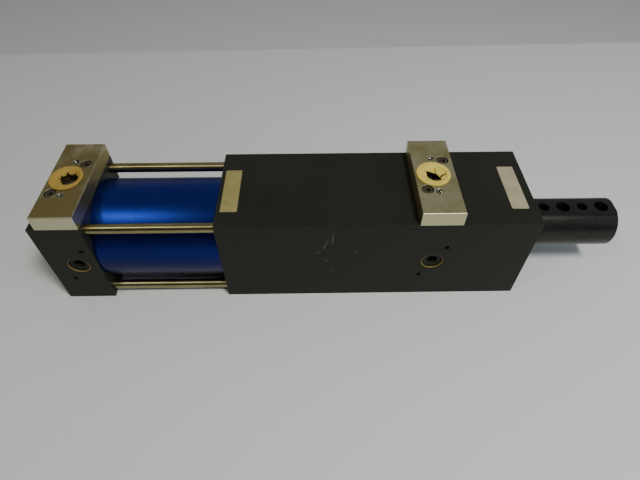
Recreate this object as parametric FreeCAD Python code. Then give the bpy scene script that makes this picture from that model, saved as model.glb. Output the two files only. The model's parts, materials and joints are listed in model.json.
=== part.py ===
import FreeCAD, Part
import math
import os

# Guided pneumatic cylinder: a square guide body, a clamped air tube, a rear cap, two bolt-on
# port blocks and one keyed guide shaft.  Millimetres.  X runs along the shaft and points out
# of the nose, Z is up, and the origin is on the shaft axis in the body's front face.
# The shaft is drawn retracted, with the piston at the rear of its stroke.

V = FreeCAD.Vector
X_AXIS = V(1, 0, 0)
Y_AXIS = V(0, 1, 0)
Z_AXIS = V(0, 0, 1)

# --- driving dimensions -------------------------------------------------------------------
SECTION = 101.6            # square section shared by the guide body and the rear cap
BODY_LENGTH = 292.1
CAP_LENGTH = 46.4
STROKE = 76.2

BORE_D = 88.9              # air tube bore
TUBE_WALL = 4.7
SPIGOT_LENGTH = 6.15       # register on the body and on the cap that centres the tube
TUBE_GROOVE_WIDTH = 2.6
TUBE_GROOVE_DEPTH = 2.0

TIE_ROD_D = 9.5
TIE_ROD_OFFSET = 42.0      # from the shaft axis, sideways and up
TIE_ROD_ENGAGEMENT = 19.0
TIE_NUT_WALL = 2.35
TIE_NUT_THREAD = 7.0
TIE_NUT_SOCKET = 5.5
TIE_NUT_HEX_STEP = 0.5      # the socket's flats are this much under the thread
TIE_NUT_INSET = 1.0        # the nut's end below the cap's rear face

PISTON_LENGTH = 25.4
PISTON_CLEARANCE = 0.4
PISTON_SEAL_WIDTH = 5.0
PISTON_SEAL_DEPTH = 5.5
PISTON_SEAL_INSET = 3.2
WEAR_RING_WIDTH = 5.4
WEAR_RING_DEPTH = 2.5
BUMPER_MEAN_D = 69.0
BUMPER_WIDTH = 6.0
BUMPER_DEPTH = 2.0         # sunk in the piston face
BUMPER_PROUD = 1.15
END_GAP = 0.3              # left between bumper and spigot at each end of the stroke

SHAFT_D = 47.6
SHAFT_REACH = 96.5         # out of the front face when retracted
SHAFT_CHAMFER = 1.5
FLAT_DEPTH = 2.6
FLAT_RUN_IN = 5.0          # the flat starts this far inside the front face
TOOL_HOLE_PITCH = 19.05
TOOL_HOLE_INSET = 13.3     # last hole to the shaft's end
LARGE_HOLE_D = 13.5
SMALL_HOLE_D = 10.3
PISTON_SEAT_D = 31.75
PISTON_THREAD_D = 25.4
PISTON_NUT_HEX = 38.1
PISTON_NUT_THICKNESS = 12.7
PISTON_WASHER = 2.0
PISTON_WASHER_WIDTH = 8.3
PISTON_NUT_CROWN = 1.8     # length of the cone that takes the nut's corners off
PISTON_NUT_CROWN_WIDTH = 3.2
THREAD_TAIL = 1.6
SEAT_SEAL_WIDTH = 2.6
SEAT_SEAL_DEPTH = 2.0

CORE_GAP = 3.2             # air space round the shaft inside the body
BUSHING_WALL = 4.75
REAR_BUSHING_LENGTH = 50.8
REAR_BUSHING_INSET = 1.5
AIR_FLUTES = 4
AIR_FLUTE_D = 5.0

GLAND_WALL = 6.35          # outside the front bushing
GLAND_LENGTH = 63.5
GLAND_INSET = 6.4          # gland nose below the body's front face
FRONT_BUSHING_LENGTH = 44.0
WIPER_WIDTH = 5.6
WIPER_SECTION = 4.7
GLAND_LIP = 4.0
ROD_SEAL_WIDTH = 6.8
ROD_SEAL_SECTION = 7.2
GLAND_SEAL_WIDTH = 3.6
GLAND_SEAL_DEPTH = 2.4
RETAINER_THICKNESS = 2.4
RETAINER_GROOVE_DEPTH = 1.9
RETAINER_WIDTH = 4.2
RETAINER_LUG_D = 6.8
RETAINER_LUG_HOLE_D = 2.5
RETAINER_GAP_ANGLE = 14.0  # each side of straight down
RETAINER_LUG_ANGLE = 4.0   # lug centre beyond the gap's edge
RETAINER_OFFSET = 0.8      # inner edge below the outer edge's centre

KEY_WIDTH = 12.7
KEY_LENGTH = 40.0
KEY_FROM_FRONT = 150.0
KEYWAY_DEPTH = 5.0
KEY_POCKET = 5.0
KEY_TOP_GAP = 0.5
KEYWAY_END_ROOM = 2.0
KEY_SCREW_PITCH = 22.0
KEY_SCREW_SKIN = 3.0       # key left above the screw tips

PORT_FROM_FRONT = 90.5
CAP_PORT_FROM_REAR = 27.1
PORT_BORE_D = 11.0
PORT_RECESS_D = 22.6
PORT_RECESS_DEPTH = 2.3
PORT_SEAL_SECTION = 2.6
PORT_SEAL_SIDES = 8        # the round section is drawn with this many
PORT_SCREW_X = 10.2        # port screws sit on a diagonal, this far from the port centre
PORT_SCREW_SIDE = 20.0
CAP_CAVITY_GAP = 3.0       # round the corners of the piston nut
CAP_CAVITY_FLOOR = 14.9    # solid left behind the cavity

BLOCK_WIDTH = 38.1
BLOCK_HEIGHT = 14.9
BLOCK_EDGE = 0.6
BLOCK_PORT_D = 26.0
BLOCK_PORT_DEPTH = 11.0
BLOCK_TAPPED_D = 6.8
BLOCK_TAPPED_SIDE = 22.8

SCREW_D = 6.0              # M6 socket head cap screws
SCREW_TAP_D = 5.0
SCREW_HEAD_D = 10.0
SCREW_HEAD_HEIGHT = 6.0
SCREW_HEX = 5.0
SCREW_HEX_DEPTH = 3.0
SCREW_EDGE = 0.6
SCREW_GRIP = 12.0          # thread in the body
COUNTERBORE_D = 11.2
COUNTERBORE_DEPTH = 6.8
TAP_DEPTH = 14.0

PLUG_FLANGE_D = 32.4
PLUG_FLANGE_THICKNESS = 1.4
PLUG_FLANGE_EDGE = 0.8
PLUG_FLANGE_OFFSET = 2.0   # flange centre behind the port centre
PLUG_STEM_LENGTH = 9.0
PLUG_WALL = 1.2
PLUG_TAPER = 1.0
PLUG_EYE_D = 18.0
PLUG_LIP_HEIGHT = 0.5
PLUG_LIP_WIDTH = 0.9
PLUG_SKIN = 0.6
# Torn plug skins: the first angle and the sweep of each gap, and the diameter of the hole
# where the petals' tips met.
FRONT_PLUG_GAPS = ((155, 137), (84, 6), (0, 9))
FRONT_PLUG_TIP_D = 2.0
REAR_PLUG_GAPS = ((262, 158), (108, 6), (159, 8), (212, 6))
REAR_PLUG_TIP_D = 9.0

FACE_HOLE_SPACING = 76.2   # tapped mounting holes in the front face
FACE_HOLE_D = 8.5
FACE_HOLE_DEPTH = 25.0

RUNNING_CLEARANCE = 0.05   # radial, shaft and piston to what guides them
SEAT_CLEARANCE = 0.05      # radial, spigots and gland in their bores
HOLE_CLEARANCE = 0.3       # radial, bolts and rods in plain holes
LIP_SEAL_LIP = 0.2         # each lip's share of a lip seal's section
LIP_SEAL_GROOVE = 0.6      # groove's share of a lip seal's width
CUT_PAST = 1.0             # how far a groove cutter reaches past the surface

# --- places worked out from them ----------------------------------------------------------
HALF = SECTION / 2
SHAFT_R = SHAFT_D / 2
BORE_R = BORE_D / 2
SPIGOT_R = BORE_R - SEAT_CLEARANCE
BUSHING_R = SHAFT_R + BUSHING_WALL
CORE_R = SHAFT_R + CORE_GAP
GLAND_R = BUSHING_R + GLAND_WALL
ROD_SEAL_R = SHAFT_R + ROD_SEAL_SECTION
WIPER_R = SHAFT_R + WIPER_SECTION
TIE_NUT_R = TIE_ROD_D / 2 + TIE_NUT_WALL
BUMPER_INNER_R = (BUMPER_MEAN_D - BUMPER_WIDTH) / 2
BUMPER_OUTER_R = (BUMPER_MEAN_D + BUMPER_WIDTH) / 2
CAP_CAVITY_R = PISTON_NUT_HEX / math.sqrt(3) + CAP_CAVITY_GAP
TUBE_SPAN = STROKE + PISTON_LENGTH + 2 * (SPIGOT_LENGTH + BUMPER_PROUD + END_GAP)

BODY_REAR = -BODY_LENGTH
CAP_FRONT = BODY_REAR - TUBE_SPAN
CAP_REAR = CAP_FRONT - CAP_LENGTH
BODY_SPIGOT_FACE = BODY_REAR - SPIGOT_LENGTH
CAP_SPIGOT_FACE = CAP_FRONT + SPIGOT_LENGTH
PISTON_REAR = CAP_SPIGOT_FACE + BUMPER_PROUD + END_GAP
PISTON_FRONT = PISTON_REAR + PISTON_LENGTH

GLAND_FRONT = -GLAND_INSET
GLAND_REAR = GLAND_FRONT - GLAND_LENGTH
FRONT_BUSHING_FRONT = GLAND_FRONT - WIPER_WIDTH - GLAND_LIP
FRONT_BUSHING_REAR = FRONT_BUSHING_FRONT - FRONT_BUSHING_LENGTH
ROD_SEAL_REAR = FRONT_BUSHING_REAR - ROD_SEAL_WIDTH
REAR_BUSHING_REAR = BODY_SPIGOT_FACE + REAR_BUSHING_INSET
REAR_BUSHING_FRONT = REAR_BUSHING_REAR + REAR_BUSHING_LENGTH

BODY_PORT_X = -PORT_FROM_FRONT
CAP_PORT_X = CAP_REAR + CAP_PORT_FROM_REAR
TIE_CORNERS = [(side * TIE_ROD_OFFSET, level * TIE_ROD_OFFSET)
               for side in (-1, 1) for level in (-1, 1)]


# --- building blocks ----------------------------------------------------------------------
def place(shape, origin, direction):
    """Move a shape drawn at the origin along +Z so that it starts at origin along direction."""
    moved = shape.copy()
    moved.Placement = FreeCAD.Placement(origin, FreeCAD.Rotation(Z_AXIS, direction))
    return moved


def turned(profile, origin, direction):
    """Revolve a closed outline of (radius, height) points and place it."""
    points = [V(radius, 0, height) for radius, height in profile]
    face = Part.Face(Part.makePolygon(points + points[:1]))
    return place(face.revolve(V(0, 0, 0), Z_AXIS, 360), origin, direction)


def rod(radius, origin, direction, length):
    return Part.makeCylinder(radius, length, origin, direction)


def along_x(radius, x_start, x_end):
    return rod(radius, V(x_start, 0, 0), X_AXIS, x_end - x_start)


def ring_x(inner, outer, x_start, x_end):
    length = x_end - x_start
    return turned([(inner, 0), (outer, 0), (outer, length), (inner, length)], V(x_start, 0, 0), X_AXIS)


def hexagon(across_flats, origin, direction, length):
    corner = across_flats / math.sqrt(3)
    points = [V(corner * math.cos(math.radians(60 * i)), corner * math.sin(math.radians(60 * i)), 0)
              for i in range(7)]
    prism = Part.Face(Part.makePolygon(points)).extrude(V(0, 0, length))
    return place(prism, origin, direction)


def cap_screw(seat, direction, grip):
    """Socket head cap screw: seat is under the head, direction points out of the head."""
    radius = SCREW_HEAD_D / 2
    head = turned([(0, 0), (radius, 0), (radius, SCREW_HEAD_HEIGHT - SCREW_EDGE),
                   (radius - SCREW_EDGE, SCREW_HEAD_HEIGHT), (0, SCREW_HEAD_HEIGHT)], seat, direction)
    socket = hexagon(SCREW_HEX, seat + direction * (SCREW_HEAD_HEIGHT - SCREW_HEX_DEPTH),
                     direction, SCREW_HEX_DEPTH)
    shank = rod(SCREW_D / 2, seat - direction * grip, direction, grip)
    return head.cut(socket).fuse(shank)


def port_recess(mouth, inward, reach):
    """O-ring recess and port bore, cut inward from a port's mouth."""
    recess = rod(PORT_RECESS_D / 2, mouth, inward, PORT_RECESS_DEPTH)
    return recess.fuse(rod(PORT_BORE_D / 2, mouth, inward, reach))


def port_screw_points(centre, sideways):
    """The two screw positions on the diagonal across a port."""
    step = X_AXIS * PORT_SCREW_X + sideways * PORT_SCREW_SIDE
    return [centre + step, centre - step]


def write(name, shape):
    shape.exportStep(os.path.join("parts", name + ".step"))
    print(name, "solids", len(shape.Solids), "valid", shape.isValid(), "volume", round(shape.Volume))


# --- cylinder shell -----------------------------------------------------------------------
def square_bar(x_start, x_end):
    return Part.makeBox(x_end - x_start, SECTION, SECTION, V(x_start, -HALF, -HALF))


def spigot(x_root, x_face):
    """Round register with an O-ring groove, from its root face to its end face."""
    low, high = sorted((x_root, x_face))
    middle = (low + high) / 2
    groove = ring_x(SPIGOT_R - TUBE_GROOVE_DEPTH, BORE_R + CUT_PAST, middle - TUBE_GROOVE_WIDTH / 2,
                    middle + TUBE_GROOVE_WIDTH / 2)
    return along_x(SPIGOT_R, low, high).cut(groove)


def tube_seal(x_root, x_face):
    middle = (x_root + x_face) / 2
    return ring_x(SPIGOT_R - TUBE_GROOVE_DEPTH, BORE_R, middle - TUBE_GROOVE_WIDTH / 2,
                  middle + TUBE_GROOVE_WIDTH / 2)


def port_cuts(port_x, reach, top_screw_d):
    """Top and near-side port interfaces of the body or the cap."""
    cuts = []
    for outward, sideways, screw_d in ((Z_AXIS, Y_AXIS, top_screw_d), (-Y_AXIS, Z_AXIS, SCREW_TAP_D)):
        mouth = V(port_x, 0, 0) + outward * HALF
        cuts.append(port_recess(mouth, -outward, reach))
        for point in port_screw_points(mouth, sideways):
            cuts.append(rod(screw_d / 2, point, -outward, TAP_DEPTH))
    return cuts


def guide_body():
    body = square_bar(BODY_REAR, 0).fuse(spigot(BODY_REAR, BODY_SPIGOT_FACE))
    gland_bore = GLAND_R + SEAT_CLEARANCE
    retainer_front = GLAND_FRONT + RETAINER_THICKNESS
    cuts = [along_x(CORE_R, BODY_SPIGOT_FACE, 0),
            along_x(BUSHING_R, BODY_SPIGOT_FACE, REAR_BUSHING_FRONT),
            along_x(gland_bore, GLAND_REAR, 0),
            along_x(gland_bore + RETAINER_GROOVE_DEPTH, GLAND_FRONT, retainer_front)]
    cuts += port_cuts(BODY_PORT_X, HALF, SCREW_D)
    for side, level in TIE_CORNERS:
        cuts.append(rod(TIE_ROD_D / 2, V(BODY_REAR, side, level), X_AXIS, TIE_ROD_ENGAGEMENT))
    for side in (-1, 1):
        for level in (-1, 1):
            mouth = V(0, side * FACE_HOLE_SPACING / 2, level * FACE_HOLE_SPACING / 2)
            cuts.append(rod(FACE_HOLE_D / 2, mouth, -X_AXIS, FACE_HOLE_DEPTH))
    cuts.append(key_blank(-CORE_R - KEY_POCKET, 0))
    for x in key_screw_places():
        cuts.append(rod(COUNTERBORE_D / 2, V(x, 0, -HALF), Z_AXIS, COUNTERBORE_DEPTH))
        cuts.append(rod(SCREW_D / 2 + HOLE_CLEARANCE, V(x, 0, -HALF), Z_AXIS, HALF - CORE_R))
    return body.cut(cuts)


def rear_cap():
    cap = square_bar(CAP_REAR, CAP_FRONT).fuse(spigot(CAP_FRONT, CAP_SPIGOT_FACE))
    cuts = [along_x(CAP_CAVITY_R, CAP_REAR + CAP_CAVITY_FLOOR, CAP_SPIGOT_FACE)]
    cuts += port_cuts(CAP_PORT_X, HALF, SCREW_D)
    for side, level in TIE_CORNERS:
        start = V(CAP_REAR, side, level)
        cuts.append(rod(TIE_ROD_D / 2 + HOLE_CLEARANCE, start, X_AXIS, CAP_LENGTH))
        cuts.append(rod(TIE_NUT_R + HOLE_CLEARANCE, start, X_AXIS, tie_nut_length() + TIE_NUT_INSET))
    return cap.cut(cuts)


def air_tube():
    return ring_x(BORE_R, BORE_R + TUBE_WALL, CAP_FRONT, BODY_REAR)


def tie_nut_length():
    return TIE_NUT_THREAD + TIE_NUT_SOCKET


def tie_rod(side, level):
    start = CAP_REAR + TIE_NUT_INSET + TIE_NUT_SOCKET
    return rod(TIE_ROD_D / 2, V(start, side, level), X_AXIS, BODY_REAR + TIE_ROD_ENGAGEMENT - start)


def tie_nut(side, level):
    """Round socket nut, sunk in the cap."""
    start = V(CAP_REAR + TIE_NUT_INSET, side, level)
    nut = rod(TIE_NUT_R, start, X_AXIS, tie_nut_length())
    socket = hexagon(TIE_ROD_D - TIE_NUT_HEX_STEP, start, X_AXIS, TIE_NUT_SOCKET)
    return nut.cut(socket).cut(rod(TIE_ROD_D / 2, start + X_AXIS * TIE_NUT_SOCKET, X_AXIS,
                                   TIE_NUT_THREAD))


# --- shaft guidance -----------------------------------------------------------------------
def key_blank(z_low, side_clearance):
    """Round-ended bar lying along the bottom of the core, up to the keyway floor."""
    width = KEY_WIDTH - 2 * side_clearance
    x_rear = -KEY_FROM_FRONT - KEY_LENGTH
    top = -SHAFT_R + KEYWAY_DEPTH - KEY_TOP_GAP
    bar = Part.makeBox(KEY_LENGTH - width, width, top - z_low, V(x_rear + width / 2, -width / 2, z_low))
    for x in (x_rear + width / 2, -KEY_FROM_FRONT - width / 2):
        bar = bar.fuse(rod(width / 2, V(x, 0, z_low), Z_AXIS, top - z_low))
    return bar


def key_screw_places():
    middle = -KEY_FROM_FRONT - KEY_LENGTH / 2
    return [middle - KEY_SCREW_PITCH / 2, middle + KEY_SCREW_PITCH / 2]


def key_screw_tip():
    """Top of the key screws, below the key's top."""
    return -SHAFT_R + KEYWAY_DEPTH - KEY_TOP_GAP - KEY_SCREW_SKIN


def guide_key():
    floor = -CORE_R - KEY_POCKET
    key = key_blank(floor, 0)
    for x in key_screw_places():
        key = key.cut(rod(SCREW_D / 2, V(x, 0, floor), Z_AXIS, key_screw_tip() - floor))
    return key


def key_screws():
    seat = -HALF + COUNTERBORE_DEPTH
    return [cap_screw(V(x, 0, seat), -Z_AXIS, key_screw_tip() - seat) for x in key_screw_places()]


def rear_guide_bushing():
    """Plain bushing with lengthwise flutes that let the air past the shaft."""
    bushing = ring_x(SHAFT_R + RUNNING_CLEARANCE, BUSHING_R, REAR_BUSHING_REAR, REAR_BUSHING_FRONT)
    for i in range(AIR_FLUTES):
        angle = math.radians(360 * (i + 0.5) / AIR_FLUTES)
        centre = V(REAR_BUSHING_REAR, SHAFT_R * math.cos(angle), SHAFT_R * math.sin(angle))
        bushing = bushing.cut(rod(AIR_FLUTE_D / 2, centre, X_AXIS, REAR_BUSHING_LENGTH))
    return bushing


def front_guide_bushing():
    return ring_x(SHAFT_R + RUNNING_CLEARANCE, BUSHING_R, FRONT_BUSHING_REAR, FRONT_BUSHING_FRONT)


def front_gland():
    outer = GLAND_R
    gland = ring_x(SHAFT_R + HOLE_CLEARANCE, outer, GLAND_REAR, GLAND_FRONT)
    seal_middle = (FRONT_BUSHING_FRONT + FRONT_BUSHING_REAR) / 2
    cuts = [along_x(WIPER_R, GLAND_FRONT - WIPER_WIDTH, GLAND_FRONT),
            along_x(BUSHING_R, GLAND_REAR, FRONT_BUSHING_FRONT),
            along_x(ROD_SEAL_R, GLAND_REAR, FRONT_BUSHING_REAR),
            ring_x(outer - GLAND_SEAL_DEPTH, outer + CUT_PAST, seal_middle - GLAND_SEAL_WIDTH / 2,
                   seal_middle + GLAND_SEAL_WIDTH / 2)]
    return gland.cut(cuts)


def gland_seal():
    middle = (FRONT_BUSHING_FRONT + FRONT_BUSHING_REAR) / 2
    outer = GLAND_R
    return ring_x(outer - GLAND_SEAL_DEPTH, outer + SEAT_CLEARANCE, middle - GLAND_SEAL_WIDTH / 2,
                  middle + GLAND_SEAL_WIDTH / 2)


def lip_seal(inner, outer, x_start, x_end, lip_at_start):
    """Lip seal: a ring with a V-groove between its two lips at one end."""
    length = x_end - x_start
    lip = (outer - inner) * LIP_SEAL_LIP
    root = length * LIP_SEAL_GROOVE
    profile = [(inner, 0), (inner + lip, 0), ((inner + outer) / 2, root), (outer - lip, 0), (outer, 0),
               (outer, length), (inner, length)]
    if not lip_at_start:
        profile = [(radius, length - height) for radius, height in profile]
    return turned(profile, V(x_start, 0, 0), X_AXIS)


def rod_seal():
    return lip_seal(SHAFT_R + RUNNING_CLEARANCE, ROD_SEAL_R, ROD_SEAL_REAR, FRONT_BUSHING_REAR, True)


def seal_retainer():
    return ring_x(SHAFT_R + HOLE_CLEARANCE, ROD_SEAL_R, GLAND_REAR, ROD_SEAL_REAR)


def shaft_wiper():
    return lip_seal(SHAFT_R + RUNNING_CLEARANCE, WIPER_R, GLAND_FRONT - WIPER_WIDTH, GLAND_FRONT, False)


def gland_retaining_ring():
    """Internal circlip: eccentric inner edge, gap at the bottom and a holed lug at each end."""
    outer = GLAND_R + SEAT_CLEARANCE + RETAINER_GROOVE_DEPTH
    x = GLAND_FRONT
    thickness = RETAINER_THICKNESS
    half_gap = outer * math.sin(math.radians(RETAINER_GAP_ANGLE))
    ring = along_x(outer, x, x + thickness)
    ring = ring.cut(rod(outer - RETAINER_WIDTH, V(x, 0, -RETAINER_OFFSET), X_AXIS, thickness))
    ring = ring.cut(Part.makeBox(thickness, 2 * half_gap, outer, V(x, -half_gap, -outer)))
    lug_centre = GLAND_R - RETAINER_LUG_D / 2
    for side in (-1, 1):
        angle = math.radians(-90 + side * (RETAINER_GAP_ANGLE + RETAINER_LUG_ANGLE))
        centre = V(x, lug_centre * math.cos(angle), lug_centre * math.sin(angle))
        ring = ring.fuse(rod(RETAINER_LUG_D / 2, centre, X_AXIS, thickness))
        ring = ring.cut(rod(RETAINER_LUG_HOLE_D / 2, centre, X_AXIS, thickness))
    return ring


# --- moving shaft and piston --------------------------------------------------------------
def guide_shaft():
    """Shaft with a tooling flat and cross holes at the nose, a keyway below and a piston seat."""
    washer_rear = PISTON_REAR - PISTON_WASHER
    tail = washer_rear - PISTON_NUT_THICKNESS - THREAD_TAIL
    profile = [(0, tail), (PISTON_THREAD_D / 2, tail), (PISTON_THREAD_D / 2, PISTON_REAR),
               (PISTON_SEAT_D / 2, PISTON_REAR),
               (PISTON_SEAT_D / 2, PISTON_FRONT), (SHAFT_R, PISTON_FRONT),
               (SHAFT_R, SHAFT_REACH - SHAFT_CHAMFER), (SHAFT_R - SHAFT_CHAMFER, SHAFT_REACH),
               (0, SHAFT_REACH)]
    shaft = turned(profile, V(0, 0, 0), X_AXIS)
    flat_z = SHAFT_R - FLAT_DEPTH
    flat = Part.makeBox(SHAFT_REACH + FLAT_RUN_IN, SHAFT_D, FLAT_DEPTH, V(-FLAT_RUN_IN, -SHAFT_R, flat_z))
    cuts = [flat]
    for i, diameter in enumerate((LARGE_HOLE_D, SMALL_HOLE_D, LARGE_HOLE_D, SMALL_HOLE_D)):
        x = SHAFT_REACH - TOOL_HOLE_INSET - i * TOOL_HOLE_PITCH
        cuts.append(rod(diameter / 2, V(x, 0, -SHAFT_R), Z_AXIS, SHAFT_D))
    keyway_front = -KEY_FROM_FRONT + KEYWAY_END_ROOM
    keyway_rear = -KEY_FROM_FRONT - KEY_LENGTH - STROKE - KEYWAY_END_ROOM
    width = KEY_WIDTH + 2 * RUNNING_CLEARANCE
    floor = -SHAFT_R + KEYWAY_DEPTH
    cuts.append(Part.makeBox(keyway_front - keyway_rear - width, width, KEYWAY_DEPTH,
                             V(keyway_rear + width / 2, -width / 2, floor - KEYWAY_DEPTH)))
    for x in (keyway_rear + width / 2, keyway_front - width / 2):
        cuts.append(rod(width / 2, V(x, 0, floor - KEYWAY_DEPTH), Z_AXIS, KEYWAY_DEPTH))
    return shaft.cut(cuts)


def piston_seal_span(from_front):
    """Rear and front X of one piston seal groove."""
    if from_front:
        front = PISTON_FRONT - PISTON_SEAL_INSET
        return front - PISTON_SEAL_WIDTH, front
    rear = PISTON_REAR + PISTON_SEAL_INSET
    return rear, rear + PISTON_SEAL_WIDTH


def wear_ring_span():
    middle = (PISTON_FRONT + PISTON_REAR) / 2
    return middle - WEAR_RING_WIDTH / 2, middle + WEAR_RING_WIDTH / 2


def seat_seal_span():
    middle = (PISTON_FRONT + PISTON_REAR) / 2
    return middle - SEAT_SEAL_WIDTH / 2, middle + SEAT_SEAL_WIDTH / 2


def piston():
    outer = BORE_R - PISTON_CLEARANCE
    body = ring_x(PISTON_SEAT_D / 2, outer, PISTON_REAR, PISTON_FRONT)
    cuts = []
    for from_front in (True, False):
        rear, front = piston_seal_span(from_front)
        cuts.append(ring_x(outer - PISTON_SEAL_DEPTH, outer + CUT_PAST, rear, front))
    rear, front = wear_ring_span()
    cuts.append(ring_x(outer - WEAR_RING_DEPTH, outer + CUT_PAST, rear, front))
    rear, front = seat_seal_span()
    cuts.append(ring_x(PISTON_SEAT_D / 2 - CUT_PAST, PISTON_SEAT_D / 2 + SEAT_SEAL_DEPTH, rear, front))
    for face, inward in ((PISTON_FRONT, -BUMPER_DEPTH), (PISTON_REAR, BUMPER_DEPTH)):
        low, high = sorted((face, face + inward))
        cuts.append(ring_x(BUMPER_INNER_R, BUMPER_OUTER_R, low, high))
    return body.cut(cuts)


def piston_seal(from_front):
    rear, front = piston_seal_span(from_front)
    inner = BORE_R - PISTON_CLEARANCE - PISTON_SEAL_DEPTH
    return lip_seal(inner, BORE_R - RUNNING_CLEARANCE, rear, front, not from_front)


def wear_ring():
    rear, front = wear_ring_span()
    return ring_x(BORE_R - PISTON_CLEARANCE - WEAR_RING_DEPTH, BORE_R - RUNNING_CLEARANCE, rear, front)


def seat_seal():
    rear, front = seat_seal_span()
    return ring_x(PISTON_SEAT_D / 2, PISTON_SEAT_D / 2 + SEAT_SEAL_DEPTH, rear, front)


def bumper(face, outward):
    low, high = sorted((face - outward * BUMPER_DEPTH, face + outward * BUMPER_PROUD))
    return ring_x(BUMPER_INNER_R, BUMPER_OUTER_R, low, high)


def piston_washer():
    inner = PISTON_THREAD_D / 2
    return ring_x(inner, inner + PISTON_WASHER_WIDTH, PISTON_REAR - PISTON_WASHER, PISTON_REAR)


def piston_nut():
    rear = PISTON_REAR - PISTON_WASHER - PISTON_NUT_THICKNESS
    nut = hexagon(PISTON_NUT_HEX, V(rear, 0, 0), X_AXIS, PISTON_NUT_THICKNESS)
    inner = PISTON_NUT_HEX / 2
    outer = inner + PISTON_NUT_CROWN_WIDTH
    crown = turned([(0, 0), (inner, 0), (outer, PISTON_NUT_CROWN), (outer, PISTON_NUT_THICKNESS),
                    (0, PISTON_NUT_THICKNESS)], V(rear, 0, 0), X_AXIS)
    return nut.common(crown).cut(along_x(PISTON_THREAD_D / 2, rear, rear + PISTON_NUT_THICKNESS))


# --- port blocks --------------------------------------------------------------------------
def port_block(port_x):
    """Rectangular block bolted on top of a port, with a threaded inlet and two tapped holes."""
    block = Part.makeBox(BLOCK_WIDTH, SECTION, BLOCK_HEIGHT, V(port_x - BLOCK_WIDTH / 2, -HALF, HALF))
    block = block.makeChamfer(BLOCK_EDGE, [e for e in block.Edges if e.BoundBox.ZMin > HALF])
    top = V(port_x, 0, HALF + BLOCK_HEIGHT)
    cuts = [rod(BLOCK_PORT_D / 2, top, -Z_AXIS, BLOCK_PORT_DEPTH),
            rod(PORT_BORE_D / 2, top, -Z_AXIS, BLOCK_HEIGHT)]
    for point in port_screw_points(top, Y_AXIS):
        cuts.append(rod(COUNTERBORE_D / 2, point, -Z_AXIS, COUNTERBORE_DEPTH))
        cuts.append(rod(SCREW_D / 2 + HOLE_CLEARANCE, point, -Z_AXIS, BLOCK_HEIGHT))
    for side in (-1, 1):
        cuts.append(rod(BLOCK_TAPPED_D / 2, top + Y_AXIS * side * BLOCK_TAPPED_SIDE, -Z_AXIS, BLOCK_HEIGHT))
    return block.cut(cuts)


def block_screws(port_x):
    seat = V(port_x, 0, HALF + BLOCK_HEIGHT - COUNTERBORE_DEPTH)
    grip = BLOCK_HEIGHT - COUNTERBORE_DEPTH + SCREW_GRIP
    return [cap_screw(point, Z_AXIS, grip) for point in port_screw_points(seat, Y_AXIS)]


def block_seal(port_x):
    """O-ring squeezed flat between the block and the recess under it."""
    outer = PORT_RECESS_D / 2
    inner = outer - PORT_SEAL_SECTION
    profile = [(inner, 0), (outer, 0), (outer, PORT_RECESS_DEPTH), (inner, PORT_RECESS_DEPTH)]
    return turned(profile, V(port_x, 0, HALF - PORT_RECESS_DEPTH), Z_AXIS)


def side_port_seal(port_x):
    """Free O-ring in the open side port, touching the recess floor and wall."""
    half = PORT_SEAL_SECTION / 2
    middle = PORT_RECESS_D / 2 - SEAT_CLEARANCE - half
    step = 2 * math.pi / PORT_SEAL_SIDES
    corner = half / math.cos(step / 2)
    profile = [(middle + corner * math.cos(step * (i + 0.5)), half + corner * math.sin(step * (i + 0.5)))
               for i in range(PORT_SEAL_SIDES)]
    return turned(profile, V(port_x, PORT_RECESS_DEPTH - HALF, 0), -Y_AXIS)


def skin_gap(radius, start, sweep):
    """Pie-shaped cutter for a gap torn in a plug's skin, between two angles in degrees."""
    reach = PLUG_FLANGE_THICKNESS
    wedge = Part.makeCylinder(radius, 2 * reach, V(0, 0, -reach), Z_AXIS, sweep)
    wedge.rotate(V(0, 0, 0), Z_AXIS, start)
    return wedge


def port_plug(port_x, gaps, tip_d):
    """Plastic shipping plug: off-centre flange, tapered hollow stem and a thin torn skin."""
    stem = BLOCK_PORT_D / 2 - HOLE_CLEARANCE
    bore = stem - PLUG_WALL
    eye = PLUG_EYE_D / 2
    flange = PLUG_FLANGE_D / 2
    top = PLUG_FLANGE_THICKNESS
    lip = top + PLUG_LIP_HEIGHT
    skin_top = top - PLUG_SKIN
    skin_low = skin_top - PLUG_SKIN
    plug = turned([(0, 0), (flange, 0), (flange, top - PLUG_FLANGE_EDGE), (flange - PLUG_FLANGE_EDGE, top),
                   (0, top)], V(-PLUG_FLANGE_OFFSET, 0, 0), Z_AXIS)
    plug = plug.cut(rod(bore, V(0, 0, 0), Z_AXIS, top))
    collar = turned([(0, skin_low), (bore, skin_low), (bore - PLUG_TAPER, -PLUG_STEM_LENGTH),
                     (stem - PLUG_TAPER, -PLUG_STEM_LENGTH), (stem, 0), (stem, top),
                     (eye + 2 * PLUG_LIP_WIDTH, top), (eye + PLUG_LIP_WIDTH, lip), (eye, lip),
                     (eye, skin_top), (0, skin_top)], V(0, 0, 0), Z_AXIS)
    plug = plug.fuse(collar)
    plug = plug.cut([skin_gap(eye, start, sweep) for start, sweep in gaps])
    plug = plug.cut(rod(tip_d / 2, V(0, 0, -top), Z_AXIS, 2 * top))
    return place(plug, V(port_x, 0, HALF + BLOCK_HEIGHT), Z_AXIS)


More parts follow.
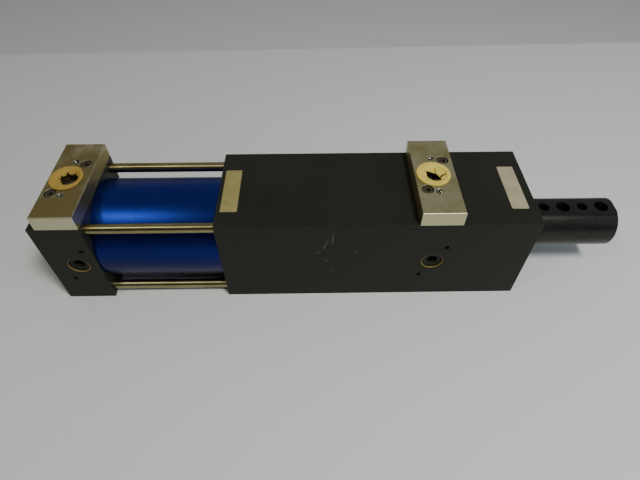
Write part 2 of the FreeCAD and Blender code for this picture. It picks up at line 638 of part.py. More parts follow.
def main():
    os.makedirs("parts", exist_ok=True)
    write("guide_body", guide_body())
    write("rear_cap", rear_cap())
    write("air_tube", air_tube())
    write("front_tube_seal", tube_seal(BODY_REAR, BODY_SPIGOT_FACE))
    write("rear_tube_seal", tube_seal(CAP_FRONT, CAP_SPIGOT_FACE))
    for side, level in TIE_CORNERS:
        name = "tie_rod_%s_%s" % ("near" if side < 0 else "far", "lower" if level < 0 else "upper")
        write(name, tie_rod(side, level))
    write("tie_rod_nuts", Part.makeCompound([tie_nut(side, level) for side, level in TIE_CORNERS]))

    write("rear_guide_bushing", rear_guide_bushing())
    write("front_guide_bushing", front_guide_bushing())
    write("front_gland", front_gland())
    write("gland_seal", gland_seal())
    write("rod_seal", rod_seal())
    write("seal_retainer", seal_retainer())
    write("shaft_wiper", shaft_wiper())
    write("gland_retaining_ring", gland_retaining_ring())
    write("guide_key", guide_key())
    write("guide_key_screws", Part.makeCompound(key_screws()))

    write("guide_shaft", guide_shaft())
    write("piston", piston())
    write("front_piston_seal", piston_seal(True))
    write("rear_piston_seal", piston_seal(False))
    write("piston_wear_ring", wear_ring())
    write("piston_seat_seal", seat_seal())
    write("front_bumper", bumper(PISTON_FRONT, 1))
    write("rear_bumper", bumper(PISTON_REAR, -1))
    write("piston_washer", piston_washer())
    write("piston_nut", piston_nut())

    for name, port_x in (("front", BODY_PORT_X), ("rear", CAP_PORT_X)):
        write(name + "_port_block", port_block(port_x))
        write(name + "_block_screws", Part.makeCompound(block_screws(port_x)))
        write(name + "_block_seal", block_seal(port_x))
        write(name + "_side_port_seal", side_port_seal(port_x))
    write("front_port_plug", port_plug(BODY_PORT_X, FRONT_PLUG_GAPS, FRONT_PLUG_TIP_D))
    write("rear_port_plug", port_plug(CAP_PORT_X, REAR_PLUG_GAPS, REAR_PLUG_TIP_D))


main()
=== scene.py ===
import json
import math

import bmesh
import bpy
from mathutils import Matrix, Vector

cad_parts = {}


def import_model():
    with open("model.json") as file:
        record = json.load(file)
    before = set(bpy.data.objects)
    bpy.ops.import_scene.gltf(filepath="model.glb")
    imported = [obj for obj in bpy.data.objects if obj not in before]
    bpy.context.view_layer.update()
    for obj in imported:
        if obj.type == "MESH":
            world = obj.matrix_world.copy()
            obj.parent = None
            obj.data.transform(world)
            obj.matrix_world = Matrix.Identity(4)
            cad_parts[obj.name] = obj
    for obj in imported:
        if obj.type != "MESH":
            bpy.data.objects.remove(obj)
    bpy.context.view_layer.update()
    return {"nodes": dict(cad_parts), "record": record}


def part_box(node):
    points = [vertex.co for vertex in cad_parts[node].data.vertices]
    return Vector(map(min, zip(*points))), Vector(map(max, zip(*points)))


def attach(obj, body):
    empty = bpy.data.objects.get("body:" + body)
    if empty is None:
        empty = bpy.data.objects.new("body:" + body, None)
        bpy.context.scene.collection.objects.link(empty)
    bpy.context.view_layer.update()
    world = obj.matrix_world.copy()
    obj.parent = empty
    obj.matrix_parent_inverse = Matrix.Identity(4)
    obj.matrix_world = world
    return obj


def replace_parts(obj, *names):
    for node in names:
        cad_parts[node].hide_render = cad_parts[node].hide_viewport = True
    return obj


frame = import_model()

nodes = frame["nodes"]
mounts = {mount["name"]: mount for mount in frame["record"]["mounts"]}
MM = 0.001
COLOUR_A, COLOUR_B, COLOUR_OUT = 6, 7, 2   # a mix node's colour sockets, whose names repeat

# --- places, all from the frame, in metres ------------------------------------------------
body_low, body_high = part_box("guide_body")
HALF = body_high.z             # half of the square section
BODY_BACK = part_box("air_tube")[1].x   # the body's rear face, where the tube ends
BODY_FRONT = body_high.x
BLOCK_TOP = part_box("front_port_block")[1].z
FLOOR_Z = body_low.z


# --- node helpers -------------------------------------------------------------------------
class Shader:
    """A material with a Principled shader and short ways to add texture nodes."""

    def __init__(self, name):
        self.material = bpy.data.materials.new(name)
        self.material.use_nodes = True
        self.tree = self.material.node_tree
        self.shader = self.tree.nodes["Principled BSDF"]
        self.place = self.new("ShaderNodeTexCoord").outputs["Object"]

    def new(self, kind, **settings):
        """Add a node of a kind, with its settings."""
        node = self.tree.nodes.new(kind)
        for name, value in settings.items():
            setattr(node, name, value)
        return node

    def put(self, value, socket):
        """Link a socket, or set a plain value; a colour gets its alpha."""
        if isinstance(value, bpy.types.NodeSocket):
            self.tree.links.new(value, socket)
        elif isinstance(value, tuple) and len(value) == 3 and socket.type == "RGBA":
            socket.default_value = (*value, 1)
        else:
            socket.default_value = value

    def set(self, **values):
        """Feed the Principled shader's inputs; an underscore stands for a space."""
        for name, value in values.items():
            self.put(value, self.shader.inputs[name.replace("_", " ")])

    def stretched(self, scale):
        """Object coordinates in metres, stretched along the axes."""
        mapping = self.new("ShaderNodeMapping")
        mapping.inputs["Scale"].default_value = scale
        self.put(self.place, mapping.inputs["Vector"])
        return mapping.outputs["Vector"]

    def noise(self, scale, detail=4, rough=0.55, distort=0.0, where=None):
        node = self.new("ShaderNodeTexNoise")
        for name, value in (("Scale", scale), ("Detail", detail), ("Roughness", rough),
                            ("Distortion", distort), ("Vector", where or self.place)):
            self.put(value, node.inputs[name])
        return node.outputs["Fac"]

    def span(self, value, low, high, out_low=0.0, out_high=1.0):
        """Value mapped from low..high to out_low..out_high, and clamped."""
        node = self.new("ShaderNodeMapRange")
        for name, number in (("Value", value), ("From Min", low), ("From Max", high),
                             ("To Min", out_low), ("To Max", out_high)):
            self.put(number, node.inputs[name])
        return node.outputs["Result"]

    def math(self, operation, first, second=0.0):
        node = self.new("ShaderNodeMath", operation=operation)
        self.put(first, node.inputs[0])
        self.put(second, node.inputs[1])
        return node.outputs["Value"]

    def dot(self, first, second):
        node = self.new("ShaderNodeVectorMath", operation="DOT_PRODUCT")
        self.put(first, node.inputs[0])
        self.put(second, node.inputs[1])
        return node.outputs["Value"]

    def mix(self, factor, first, second):
        """Colour from the first to the second as the factor goes from 0 to 1."""
        node = self.new("ShaderNodeMix", data_type="RGBA")
        self.put(factor, node.inputs["Factor"])
        self.put(first, node.inputs[COLOUR_A])
        self.put(second, node.inputs[COLOUR_B])
        return node.outputs[COLOUR_OUT]

    def axis(self, name):
        """X, Y or Z of the point, in metres."""
        node = self.new("ShaderNodeSeparateXYZ")
        self.put(self.place, node.inputs["Vector"])
        return node.outputs[name]

    def bump(self, height, distance, below=None):
        """Normal bumped by a height pattern, over another bump if one is given."""
        node = self.new("ShaderNodeBump")
        self.put(distance, node.inputs["Distance"])
        self.put(height, node.inputs["Height"])
        if below:
            self.put(below, node.inputs["Normal"])
        return node.outputs["Normal"]

    def edges(self, radius):
        """1 on outer and inner edges, 0 on flat faces, from how far a rounded normal turns."""
        rounded = self.new("ShaderNodeBevel", samples=4)
        rounded.inputs["Radius"].default_value = radius
        true = self.new("ShaderNodeNewGeometry").outputs["Normal"]
        return self.span(self.dot(rounded.outputs["Normal"], true), 0.995, 0.9)

    def round_about(self):
        """Tangent round the X axis, for metal drawn or turned along it."""
        return self.new("ShaderNodeTangent", direction_type="RADIAL", axis="X").outputs["Tangent"]

    def scratch(self, start, end, width):
        """1 on a straight line between two (X, Z) points in metres, 0 from its width outward."""
        way = Vector(end) - Vector(start)
        half = way.length / 2
        way.normalize()
        offset = self.new("ShaderNodeVectorMath", operation="SUBTRACT")
        self.put(self.place, offset.inputs[0])
        self.put((start[0], 0, start[1]), offset.inputs[1])
        run = self.dot(offset.outputs["Vector"], (way.x, 0, way.y))
        side = self.dot(offset.outputs["Vector"], (-way.y, 0, way.x))
        past = self.math("SUBTRACT", self.math("ABSOLUTE", self.math("SUBTRACT", run, half)), half)
        reach = self.math("MAXIMUM", past, 0.0)
        squares = self.math("ADD", self.math("MULTIPLY", reach, reach), self.math("MULTIPLY", side, side))
        return self.span(self.math("SQRT", squares), width, width * 0.3)

    def paint(self, *names):
        """Give this material to every slot of these CAD nodes."""
        for name in names:
            for slot in nodes[name].material_slots:
                slot.material = self.material


def finish(name, colour, metallic, roughness, grain=900.0, spread=0.2, depth=0.01 * MM):
    """Plain finish: tone varied by a share of the colour, uneven gloss and a light surface grain."""
    shader = Shader(name)
    tone = shader.span(shader.noise(grain * 0.12, 5), 0.35, 0.65)
    dark = tuple(part * (1 - spread) for part in colour)
    light = tuple(min(1, part * (1 + spread)) for part in colour)
    fine = shader.noise(grain, 3)
    shader.set(Base_Color=shader.mix(tone, dark, light), Metallic=metallic,
               Roughness=shader.span(fine, 0.3, 0.7, roughness * 0.85, roughness * 1.15),
               Normal=shader.bump(fine, depth))
    return shader


# --- materials ----------------------------------------------------------------------------
SCUFFS = (                     # on the near side: start and end as X and Z, and half width, in metres
    ((-0.1860, 0.0405), (-0.1867, 0.0290), 0.0009),
    ((-0.1910, 0.0315), (-0.1950, 0.0212), 0.0010),
    ((-0.1985, 0.0160), (-0.2010, 0.0152), 0.0011),
    ((-0.1928, 0.0050), (-0.1912, 0.0018), 0.0009),
    ((-0.1868, -0.0105), (-0.1848, -0.0122), 0.0008),
    ((-0.1642, 0.0166), (-0.1638, 0.0146), 0.0008),
    ((-0.1184, -0.0376), (-0.1178, -0.0382), 0.0009))


def black_anodised():
    """Satin black, a little brown, with worn edges, dull patches and the scuffs on the near side."""
    shader = Shader("black_anodised")
    cloud = shader.span(shader.noise(16, 5, distort=0.4), 0.35, 0.7)
    lines = shader.noise(1, 4, where=shader.stretched((25, 700, 700)))
    fine = shader.noise(2600, 2)
    base = shader.mix(cloud, (0.0140, 0.0139, 0.0094), (0.0181, 0.0181, 0.0125))
    patches = shader.span(shader.noise(140, 5, 0.7), 0.46, 0.66)
    worn = shader.math("MULTIPLY", shader.edges(0.6 * MM), patches)
    base = shader.mix(worn, base, (0.075, 0.072, 0.060))
    near = shader.span(shader.axis("Y"), -HALF + 1.2 * MM, -HALF + 0.8 * MM)
    marks = 0.0
    for start, end, width in SCUFFS:
        marks = shader.math("MAXIMUM", marks, shader.scratch(start, end, width))
    broken = shader.span(shader.noise(1500, 3), 0.35, 0.6, 0.25, 1.0)
    marks = shader.math("MULTIPLY", shader.math("MULTIPLY", marks, broken), near)
    base = shader.mix(marks, base, (0.095, 0.092, 0.080))
    shader.set(Base_Color=base, Specular_IOR_Level=0.18,
               Roughness=shader.span(cloud, 0, 1, 0.46, 0.56),
               Normal=shader.bump(fine, 0.012 * MM, shader.bump(lines, 0.012 * MM)))
    return shader


def blue_anodised():
    """Deep blue dyed metal with painted shade on its lower half and painted light on its upper half, a
    lengthwise drawn grain and a few pale specks.
    """
    shader = Shader("blue_anodised")
    drawn = shader.noise(1, 4, where=shader.stretched((14, 420, 420)))
    cloud = shader.span(shader.noise(30, 4), 0.3, 0.7)
    # painted shade and painted light: darker base colour below the axis, brighter above it, mixed by height
    shaded_lower_half = shader.mix(cloud, (0.0092, 0.0098, 0.086), (0.0105, 0.0113, 0.098))
    lit_upper_half = shader.mix(cloud, (0.0065, 0.0205, 0.205), (0.0075, 0.0238, 0.233))
    base = shader.mix(shader.span(shader.axis("Z"), -2 * MM, 30 * MM), shaded_lower_half, lit_upper_half)
    specks = shader.span(shader.noise(520, 2), 0.735, 0.76)
    base = shader.mix(specks, base, (0.10, 0.16, 0.34))
    shader.set(Base_Color=base, Metallic=0.90, Specular_IOR_Level=0.1,
               Anisotropic=0.60, Tangent=shader.round_about(), Coat_Weight=0.07, Coat_Roughness=0.30,
               Roughness=shader.span(drawn, 0.3, 0.7, 0.27, 0.30), Normal=shader.bump(drawn, 0.006 * MM))
    return shader


def plated_rod():
    """Yellowish plated rod, its gloss drawn out lengthwise, with browner stretches."""
    shader = Shader("plated_rod")
    stain = shader.span(shader.noise(1, 4, where=shader.stretched((28, 90, 90))), 0.42, 0.68)
    shader.set(Base_Color=shader.mix(stain, (0.35, 0.325, 0.170), (0.25, 0.210, 0.080)), Metallic=1.0,
               Anisotropic=0.55, Anisotropic_Rotation=0.25, Tangent=shader.round_about(), Roughness=0.30)
    return shader


def block_metal(name, clean, stained, onset, lean=0.0):
    """Milled block: fine lines along its length, stains from an onset of the cloud on, leaning to one
    end, a clean near end, dark spots and bright worn edges."""
    shader = Shader(name)
    milled = shader.noise(1, 3, where=shader.stretched((1500, 22, 60)))
    cloud = shader.noise(26, 6, 0.62, 0.6)
    toward = shader.span(shader.axis("Y"), -HALF, HALF, -lean, lean)
    stain = shader.span(shader.math("ADD", cloud, toward), onset, onset + 0.28)
    past_end = shader.span(shader.axis("Y"), -HALF + 0.4 * MM, -HALF + 1.2 * MM)
    stain = shader.math("MULTIPLY", stain, past_end)
    spots = shader.span(shader.noise(330, 4, 0.7), 0.66, 0.74)
    base = shader.mix(stain, clean, stained)
    base = shader.mix(spots, base, tuple(part * 0.45 for part in stained))
    patches = shader.span(shader.noise(90, 4), 0.35, 0.6, 0.35, 1.0)
    worn = shader.math("MULTIPLY", shader.edges(0.7 * MM), patches)
    base = shader.mix(worn, base, (0.80, 0.79, 0.72))
    shader.set(Base_Color=base, Metallic=1.0, Roughness=shader.span(stain, 0, 1, 0.40, 0.50),
               Normal=shader.bump(milled, 0.01 * MM))
    return shader


def plug_plastic(name, colour, shade, clean, full_shade_depth):
    """Waxy yellow moulding with painted shade inside the port: darkened by depth from the clean depth to the
    full shade depth in mm.
    """
    shader = Shader(name)
    cloud = shader.span(shader.noise(170, 4), 0.3, 0.7)
    # painted shade: near black with depth below the block's top, standing in for the shade inside the port
    # and under the petals
    painted_shade = shader.span(shader.axis("Z"), BLOCK_TOP - clean * MM, BLOCK_TOP - full_shade_depth * MM)
    base = shader.mix(painted_shade, shader.mix(cloud, colour, shade), (0.030, 0.018, 0.007))
    shader.set(Base_Color=base, Roughness=0.42, Specular_IOR_Level=0.5,
               Subsurface_Weight=0.06, Subsurface_Scale=2 * MM,
               Normal=shader.bump(shader.noise(700, 3), 0.04 * MM))
    return shader


def foil(name, colour, shade):
    """Champagne label foil, bare, with faint handling marks and rubbed edges."""
    shader = Shader(name)
    cloud = shader.span(shader.noise(60, 5, distort=0.5), 0.35, 0.7)
    fine = shader.noise(1, 3, where=shader.stretched((2600, 60, 60)))
    base = shader.mix(cloud, colour, shade)
    rub = shader.math("MULTIPLY", shader.edges(0.5 * MM), shader.span(shader.noise(400, 3), 0.4, 0.6))
    shader.set(Base_Color=shader.mix(rub, base, (0.16, 0.15, 0.11)), Metallic=0.55, Roughness=0.42,
               Normal=shader.bump(fine, 0.004 * MM))
    return shader


def amber_rubber():
    """Amber seal rubber with painted shade, darker towards its upper side, and a fine grain."""
    shader = Shader("amber_rubber")
    # painted shade: darker upward, standing in for the shadow of the recess's upper rim on the ring
    painted_shade = shader.span(shader.axis("Z"), -2 * MM, 6 * MM)
    fine = shader.noise(600, 3)
    shader.set(Base_Color=shader.mix(painted_shade, (0.135, 0.088, 0.016), (0.034, 0.024, 0.011)),
               Roughness=shader.span(fine, 0.3, 0.7, 0.289, 0.391), Normal=shader.bump(fine, 0.01 * MM))
    return shader


black_anodised().paint("guide_body", "rear_cap")
blue_anodised().paint("air_tube")
plated_rod().paint("tie_rod_near_lower", "tie_rod_near_upper", "tie_rod_far_lower", "tie_rod_far_upper")
block_metal("front_block_metal", (0.565, 0.535, 0.320), (0.35, 0.315, 0.125), 0.35).paint("front_port_block")
block_metal("rear_block_metal", (0.60, 0.56, 0.375), (0.29, 0.240, 0.100), 0.21, -0.06).paint(
    "rear_port_block")
shaft_black = finish("shaft_black", (0.0095, 0.0093, 0.0080), 0.0, 0.29, 420, 0.3, 0.02 * MM)
shaft_black.set(Specular_IOR_Level=0.29, Specular_Tint=(1.0, 0.96, 0.86))
shaft_black.paint("guide_shaft")
finish("screw_black", (0.125, 0.108, 0.068), 0.8, 0.42).paint(
    "front_block_screws", "rear_block_screws", "guide_key_screws", "tie_rod_nuts")
finish("spring_steel", (0.10, 0.095, 0.085), 0.8, 0.35).paint("gland_retaining_ring")
finish("gland_metal", (0.55, 0.55, 0.53), 1.0, 0.3).paint("front_gland", "piston")
finish("bronze", (0.50, 0.30, 0.12), 1.0, 0.3).paint(
    "rear_guide_bushing", "front_guide_bushing", "piston_wear_ring")
finish("inner_steel", (0.45, 0.45, 0.46), 1.0, 0.3).paint(
    "seal_retainer", "guide_key", "piston_washer", "piston_nut")
finish("black_rubber", (0.014, 0.014, 0.014), 0.0, 0.55).paint(
    "front_tube_seal", "rear_tube_seal", "gland_seal", "shaft_wiper", "front_block_seal",
    "rear_block_seal", "front_piston_seal", "rear_piston_seal", "piston_seat_seal", "front_bumper",
    "rear_bumper")
amber = amber_rubber()
amber.paint("rod_seal", "front_side_port_seal", "rear_side_port_seal")
front_plastic = plug_plastic("front_plug_plastic", (0.72, 0.575, 0.108), (0.62, 0.47, 0.070), 0.8, 4.0)
rear_plastic = plug_plastic("rear_plug_plastic", (0.40, 0.270, 0.048), (0.33, 0.210, 0.030), 0.5, 2.5)
rear_foil = foil("rear_label_foil", (0.47, 0.405, 0.155), (0.38, 0.315, 0.112))
front_foil = foil("front_label_foil", (0.64, 0.58, 0.36), (0.52, 0.465, 0.28))
thread_metal = finish("thread_metal", (0.60, 0.58, 0.50), 1.0, 0.16)
face_thread_metal = finish("face_thread_metal", (0.40, 0.40, 0.39), 1.0, 0.30)


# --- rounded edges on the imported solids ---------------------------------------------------
def soften(name, width):
    """Round the sharp edges of a CAD node with modifiers; its own mesh stays as packed.

    The facets are welded and those in one plane joined first, so that the bevel follows true edges."""
    item = nodes[name]
    weld = item.modifiers.new("weld", "WELD")
    weld.merge_threshold = 0.001 * MM
    flat = item.modifiers.new("flat", "DECIMATE")
    flat.decimate_type = "DISSOLVE"
    flat.angle_limit = math.radians(1)
    bevel = item.modifiers.new("bevel", "BEVEL")
    bevel.width = width
    bevel.segments = 2
    bevel.limit_method = "ANGLE"
    bevel.angle_limit = math.radians(40)
    bevel.use_clamp_overlap = True
    bevel.miter_outer = "MITER_SHARP"
    shade = item.modifiers.new("shade", "WEIGHTED_NORMAL")
    shade.keep_sharp = False


for name in ("guide_body", "rear_cap", "front_port_block", "rear_port_block"):
    soften(name, 0.3 * MM)
soften("guide_shaft", 0.25 * MM)


# --- pieces -------------------------------------------------------------------------------
def piece(name, bm, shader, body, sharp=40):
    """Make a mesh piece from bm, in the row frame, and let it ride on a body."""
    bmesh.ops.recalc_face_normals(bm, faces=bm.faces)
    mesh = bpy.data.meshes.new(name)
    bm.to_mesh(mesh)
    bm.free()
    mesh.materials.append(shader.material)
    mesh.shade_smooth()
    mesh.set_sharp_from_angle(angle=math.radians(sharp))
    item = bpy.data.objects.new(name, mesh)
    bpy.context.collection.objects.link(item)
    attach(item, body)
    return item


def skin(bm, rows, loop):
    """Join closed outlines of the same length into a skin, with caps on the ends of an open one."""
    rows = [[bm.verts.new(point) for point in row] for row in rows]
    for row, after in zip(rows, rows[1:] + rows[:1] if loop else rows[1:]):
        for i in range(len(row)):
            j = (i + 1) % len(row)
            bm.faces.new((row[i], row[j], after[j], after[i]))
    if not loop:
        bm.faces.new(rows[0])
        bm.faces.new(rows[-1][::-1])


def turned(bm, outline, place, shift=(0, 0), squeeze=0.0, count=96):
    """Closed profile of (radius, height, share) points turned about Z, then placed.

    Each point's circle moves by its share of the shift and narrows along X by that of the squeeze."""
    turns = [2 * math.pi * i / count for i in range(count)]
    skin(bm, [[place @ Vector((radius * math.cos(turn) * (1 - squeeze * share) + shift[0] * share,
                               radius * math.sin(turn) + shift[1] * share, height)) for turn in turns]
              for radius, height, share in outline], True)


def along(points, share):
    """Point at a share of the way through a list of points, one step each."""
    run = share * (len(points) - 1)
    i = min(int(run), len(points) - 2)
    return Vector(points[i]).lerp(Vector(points[i + 1]), run - i)


def petal(bm, centre, radius, start, end, tips, bend,
          thickness=0.6 * MM, hinge=3.2 * MM, across=24, inward=8):
    """Leaf of torn skin: its root is the eye's rim from the start to the end angle, its torn edge runs
    through the tips in the same order, and it is folded down by the bend just inside the rim."""
    fold = math.radians(bend)
    rows = []
    for i in range(across + 1):
        share = i / across
        angle = math.radians(start + (end - start) * share)
        root = Vector((math.cos(angle), math.sin(angle))) * radius
        tip = along(tips, share) * MM
        length = (tip - root).length
        way = (tip - root).normalized()
        top, under = [], []
        for j in range(inward + 1):
            run = length * j / inward
            bent = min(run, hinge)
            turn = fold * bent / hinge
            reach = hinge / fold * math.sin(turn) + (run - bent) * math.cos(fold)
            drop = hinge / fold * (1 - math.cos(turn)) + (run - bent) * math.sin(fold)
            spot = root + way * reach
            top.append(centre + Vector((spot.x, spot.y, -drop)))
            lean = way * (thickness * math.sin(turn))
            under.append(top[-1] - Vector((lean.x, lean.y, thickness * math.cos(turn))))
        rows.append(top + under[::-1])
    skin(bm, rows, False)


PLUG_PROFILE = (               # radius and height over the block's top in mm, share of the shift
    (15.7, 0.02, 1), (16.15, 0.30, 1), (16.2, 0.85, 1), (15.9, 1.35, 1), (15.1, 1.62, 1),
    (13.4, 1.60, 0.9), (11.4, 1.30, 0.45), (10.0, 0.85, 0.1), (9.45, 0.35, 0), (9.3, -0.35, 0),
    (9.6, -0.95, 0), (10.5, -1.6, 0), (10.6, -4.0, 0), (10.3, -8.9, 0), (11.7, -8.9, 0),
    (12.7, -0.6, 0), (12.75, 0.0, 0))
EYE_RADIUS, EYE_HEIGHT = 9.6, 0.1     # the eye's rim, where the torn skin starts, in mm
FRONT_PETALS = (               # root's start and end angle, bend in degrees, tips from the eye's centre in mm
    (88, 152, 7, ((0.5, 8.2), (0.3, 2.0), (-0.9, 2.5), (-5.0, 4.0), (-8.1, 4.9))),
    (84, 4, 12, ((1.2, 8.3), (1.3, 6.8), (0.9, 2.0), (2.6, 0.2), (3.6, -2.6), (5.6, -0.3), (9.3, 0.9))),
    (-3, -58, 26, ((9.2, -0.9), (6.4, -1.9), (4.8, -3.2), (3.9, -4.9), (4.9, -7.7))),
    (300, 226, 97, ((4.4, -8.0), (0.8, -1.2), (-0.9, -0.6), (-6.3, -6.6))),
    (222, 158, 97, ((-6.6, -6.2), (-0.8, -0.3), (-0.6, 0.4), (-8.3, 3.6))))
REAR_PETALS = (
    (64, 110, 62, ((3.7, 8.0), (2.6, 5.9), (0.8, 5.2), (-1.2, 5.4), (-2.9, 8.2))),
    (116, 154, 20, ((-3.7, 7.8), (-4.0, 5.2), (-5.2, 3.4), (-6.8, 3.0), (-8.0, 4.2))),
    (158, 180, 40, ((-8.4, 3.6), (-7.4, 1.9), (-7.4, 0.4), (-9.0, 0.1))),
    (184, 252, 72, ((-9.0, -0.8), (-2.5, -0.6), (-1.0, -2.0), (-1.4, -4.0), (-3.0, -8.4))),
    (256, 318, 98, ((-2.0, -8.8), (-0.2, -1.2), (1.0, -1.0), (6.4, -6.0))),
    (322, 378, 98, ((7.2, -5.6), (1.2, -0.6), (1.4, 0.6), (8.8, 2.8))),
    (22, 60, 84, ((8.4, 3.6), (1.6, 1.2), (1.2, 2.0), (4.6, 7.8))))


def plug(name, node, shader, block, shift, squeeze, petals):
    """Torn shipping plug: an off-centre sloped flange, a hollow stem and petals round its eye."""
    low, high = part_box(block)
    centre = Vector(((low.x + high.x) / 2, 0, high.z))
    bm = bmesh.new()
    turned(bm, [(radius * MM, height * MM, share) for radius, height, share in PLUG_PROFILE],
           Matrix.Translation(centre), [step * MM for step in shift], squeeze)
    for start, end, bend, tips in petals:
        petal(bm, centre + Vector((0, 0, EYE_HEIGHT * MM)), EYE_RADIUS * MM, start, end, tips, bend)
    item = piece(name, bm, shader, "housing")
    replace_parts(item, node)


plug("front_plug_torn", "front_port_plug", front_plastic, "front_port_block", (-2.0, 0), 0.02, FRONT_PETALS)
plug("rear_plug_torn", "rear_port_plug", rear_plastic, "rear_port_block", (-2.1, -0.1), 0.06, REAR_PETALS)


def plate(name, shader, low, high, thickness=0.15 * MM, radius=1.2 * MM, steps=6):
    """Thin bare label plate with rounded corners, lying on the body's top between two (X, Y) corners."""
    outline = []
    for x, y, across, up, start in ((high[0], high[1], -1, -1, 0), (low[0], high[1], 1, -1, 90),
                                    (low[0], low[1], 1, 1, 180), (high[0], low[1], -1, 1, 270)):
        for i in range(steps + 1):
            angle = math.radians(start + 90 * i / steps)
            outline.append((x + radius * (across + math.cos(angle)), y + radius * (up + math.sin(angle))))
    bm = bmesh.new()
    skin(bm, [[(x, y, HALF + height) for x, y in outline] for height in (0, thickness)], False)
    item = piece(name, bm, shader, "housing")
    bevel = item.modifiers.new("bevel", "BEVEL")
    bevel.width = thickness * 0.4
    bevel.segments = 2


plate("rear_label_plate", rear_foil,
      (BODY_BACK + 3.7 * MM, -31.3 * MM), (BODY_BACK + 19.3 * MM, 25.6 * MM))
plate("front_label_plate", front_foil,
      (BODY_FRONT - 23.2 * MM, -31.0 * MM), (BODY_FRONT - 7.5 * MM, 27.0 * MM))


def seal_ring(name, node, section=0.95 * MM, count=20):
    """Rubber ring on the floor of a side port's recess, against its wall; its section is a radius."""
    low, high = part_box(node)
    place = Matrix.Translation(((low.x + high.x) / 2, high.y - section, (low.z + high.z) / 2))
    mean = (high.x - low.x) / 2 - section
    turns = [2 * math.pi * i / count for i in range(count)]
    outline = [(mean + section * math.cos(turn), section * math.sin(turn), 0) for turn in turns]
    bm = bmesh.new()
    turned(bm, outline, place @ Matrix.Rotation(math.pi / 2, 4, "X"))
    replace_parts(piece(name, bm, amber, "housing"), node)


def thread(bm, mouth, inward, radius, depth, pitch, height, count=36, humps=6):
    """Rounded thread ridge: a helix on a hole's wall, from just inside its mouth, faded at both ends."""
    lead_in, rooted = 0.2 * MM, 0.03 * MM
    side = inward.orthogonal().normalized()
    other = inward.cross(side)
    steps = int(depth / pitch * count)
    rows = []
    for i in range(steps + 1):
        angle = 2 * math.pi * i / count
        out = side * math.cos(angle) + other * math.sin(angle)
        fade = max(0.05, min(1, 2 * i / count, 4 * (steps - i) / count))
        start = mouth + inward * (lead_in + pitch * i / count)
        row = []
        for j in range(humps + 1):
            rise = height * fade * (1 - math.cos(2 * math.pi * j / humps)) / 2
            row.append(start + inward * (pitch * j / humps) + out * (radius + rooted - rise))
        rows.append(row)
    skin(bm, rows, False)


def hole_threads(name, mount, shader, depth, pitch, height):
    """Threads, sizes in mm, in the holes of a bolt pattern: a pair across Y, or four across Y and Z."""
    place, inward, sizes = Vector(mount["pos_m"]), -Vector(mount["axis"]), mount["dims"]
    across = sizes["spacing_y_mm"] / 2
    up = sizes.get("spacing_x_mm", 0) / 2
    levels = (-up, up) if up else (0,)
    bm = bmesh.new()
    for y in (-across, across):
        for z in levels:
            thread(bm, place + Vector((0, y, z)) * MM, inward, sizes["hole_r_mm"] * MM,
                   depth * MM, pitch * MM, height * MM)
    piece(name, bm, shader, "housing", 180)


for end in ("front", "rear"):
    seal_ring(end + "_side_port_ring", end + "_side_port_seal")
    hole_threads(end + "_block_threads", mounts[end + "_block_tapped_holes"],
                 thread_metal, 13, 1.25, 0.42)
hole_threads("front_face_threads", mounts["front_face_holes"], face_thread_metal,
             22, 1.5, 0.7)

# --- floor, light and camera --------------------------------------------------------------
CAMERA_PLACE = Vector((-0.20141, -0.33322, 0.35849))
CAMERA_AZIMUTH = -0.01221      # radians from looking straight along +Y
CAMERA_ELEVATION = 0.8554      # radians down from the horizon
CAMERA_ROLL = -0.00261         # radians about the line of sight
CAMERA_LENS = 26.80            # mm on a sensor 36 mm wide


def camera():
    """Camera from its place, its three angles and its lens."""
    data = bpy.data.cameras.new("camera")
    data.lens = CAMERA_LENS
    data.sensor_width = 36.0
    data.clip_start = 0.01
    item = bpy.data.objects.new("camera", data)
    back = Vector((math.sin(CAMERA_AZIMUTH) * math.cos(CAMERA_ELEVATION),
                   -math.cos(CAMERA_AZIMUTH) * math.cos(CAMERA_ELEVATION), math.sin(CAMERA_ELEVATION)))
    right = (-back).cross(Vector((0, 0, 1))).normalized()
    up = right.cross(-back)
    turn_cos, turn_sin = math.cos(CAMERA_ROLL), math.sin(CAMERA_ROLL)
    rolled_right = turn_cos * right + turn_sin * up
    rolled_up = turn_cos * up - turn_sin * right
    item.matrix_world = Matrix((
        (rolled_right.x, rolled_up.x, back.x, CAMERA_PLACE.x),
        (rolled_right.y, rolled_up.y, back.y, CAMERA_PLACE.y),
        (rolled_right.z, rolled_up.z, back.z, CAMERA_PLACE.z),
        (0, 0, 0, 1)))
    bpy.context.collection.objects.link(item)
    bpy.context.scene.camera = item


def area_light(name, place, target, size, power, colour):
    """Soft rectangular light of a power in watts, aimed at a target."""
    data = bpy.data.lights.new(name, "AREA")
    data.shape = "RECTANGLE"
    data.size, data.size_y = size
    data.energy = power
    data.color = colour
    item = bpy.data.objects.new(name, data)
    item.location = place
    item.rotation_euler = (Vector(target) - Vector(place)).to_track_quat("-Z", "Y").to_euler()
    bpy.context.collection.objects.link(item)


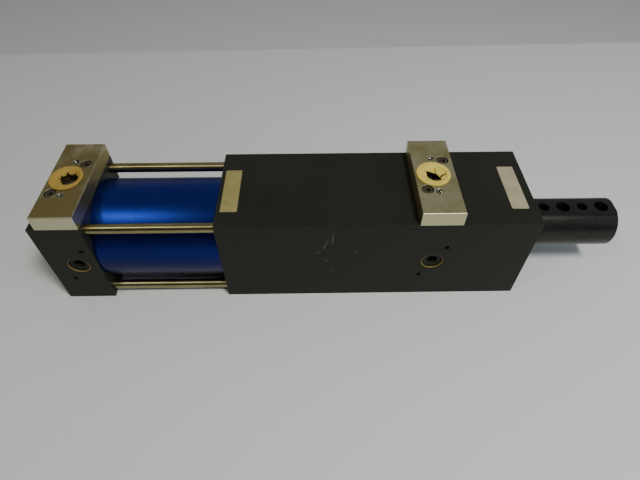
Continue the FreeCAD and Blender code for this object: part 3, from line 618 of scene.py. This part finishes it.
def floor():
    """Pale table with a rounded back edge, and a second pale floor a step below it."""
    mesh = bpy.data.meshes.new("floor")
    near, back, far, side = -3.0, 0.492, 4.0, 4.0
    drop, bend, steps = 0.22, 0.025, 8
    slant = 0.022              # how much the back edge runs askew, Y for each X
    profile = [(near, 0), (back - bend, 0)]
    for i in range(1, steps + 1):
        angle = math.pi / 2 * i / steps
        profile.append((back - bend + bend * math.sin(angle), bend * math.cos(angle) - bend))
    profile += [(back, -drop), (far, -drop)]
    points = [(x, y + slant * x, FLOOR_Z + z) for y, z in profile for x in (-side, side)]
    faces = [(2 * i, 2 * i + 1, 2 * i + 3, 2 * i + 2) for i in range(len(profile) - 1)]
    mesh.from_pydata(points, [], faces)
    item = bpy.data.objects.new("floor", mesh)
    bpy.context.collection.objects.link(item)
    for name, colour in (("pale_floor", (0.658, 0.680, 0.650)), ("pale_floor_behind", (0.80, 0.80, 0.79))):
        shader = Shader(name)
        shader.set(Base_Color=colour, Roughness=0.7, Specular_IOR_Level=0.3)
        mesh.materials.append(shader.material)
    mesh.polygons[-1].material_index = 1


def world():
    """Dim room: lighter behind the table than in front of it, warm on the left and cool on the right."""
    data = bpy.data.worlds.new("studio")
    data.use_nodes = True
    tree = data.node_tree
    source = tree.nodes.new("ShaderNodeTexCoord")
    way = tree.nodes.new("ShaderNodeSeparateXYZ")
    tree.links.new(source.outputs["Generated"], way.inputs["Vector"])
    shade = tree.nodes.new("ShaderNodeMapRange")
    side = tree.nodes.new("ShaderNodeMapRange")
    for node, axis, limits in ((shade, "Y", (-0.5, 0.6, 0.045, 0.30)), (side, "X", (-0.8, 0.8, 0, 1))):
        tree.links.new(way.outputs[axis], node.inputs["Value"])
        for name, number in zip(("From Min", "From Max", "To Min", "To Max"), limits):
            node.inputs[name].default_value = number
    tint = tree.nodes.new("ShaderNodeMix")
    tint.data_type = "RGBA"
    tree.links.new(side.outputs["Result"], tint.inputs["Factor"])
    tint.inputs[COLOUR_A].default_value = (0.94, 0.895, 0.74, 1)
    tint.inputs[COLOUR_B].default_value = (1.00, 1.04, 1.20, 1)
    background = tree.nodes["Background"]
    tree.links.new(tint.outputs[COLOUR_OUT], background.inputs["Color"])
    tree.links.new(shade.outputs["Result"], background.inputs["Strength"])
    bpy.context.scene.world = data


camera()
floor()
world()
area_light("ceiling_right", (0.252, -0.585, 1.3), (0, -0.1, 0), (0.26, 0.325), 16.4, (0.99, 0.995, 1))
area_light("ceiling_left", (-1.16, -0.68, 1.8), (-0.36, 0, 0), (0.35, 0.40), 5.6, (1.0, 0.955, 0.80))
area_light("window", (1.35, -0.70, 0.62), (0, 0, 0), (0.8, 0.6), 7.0, (0.72, 0.82, 1.0))
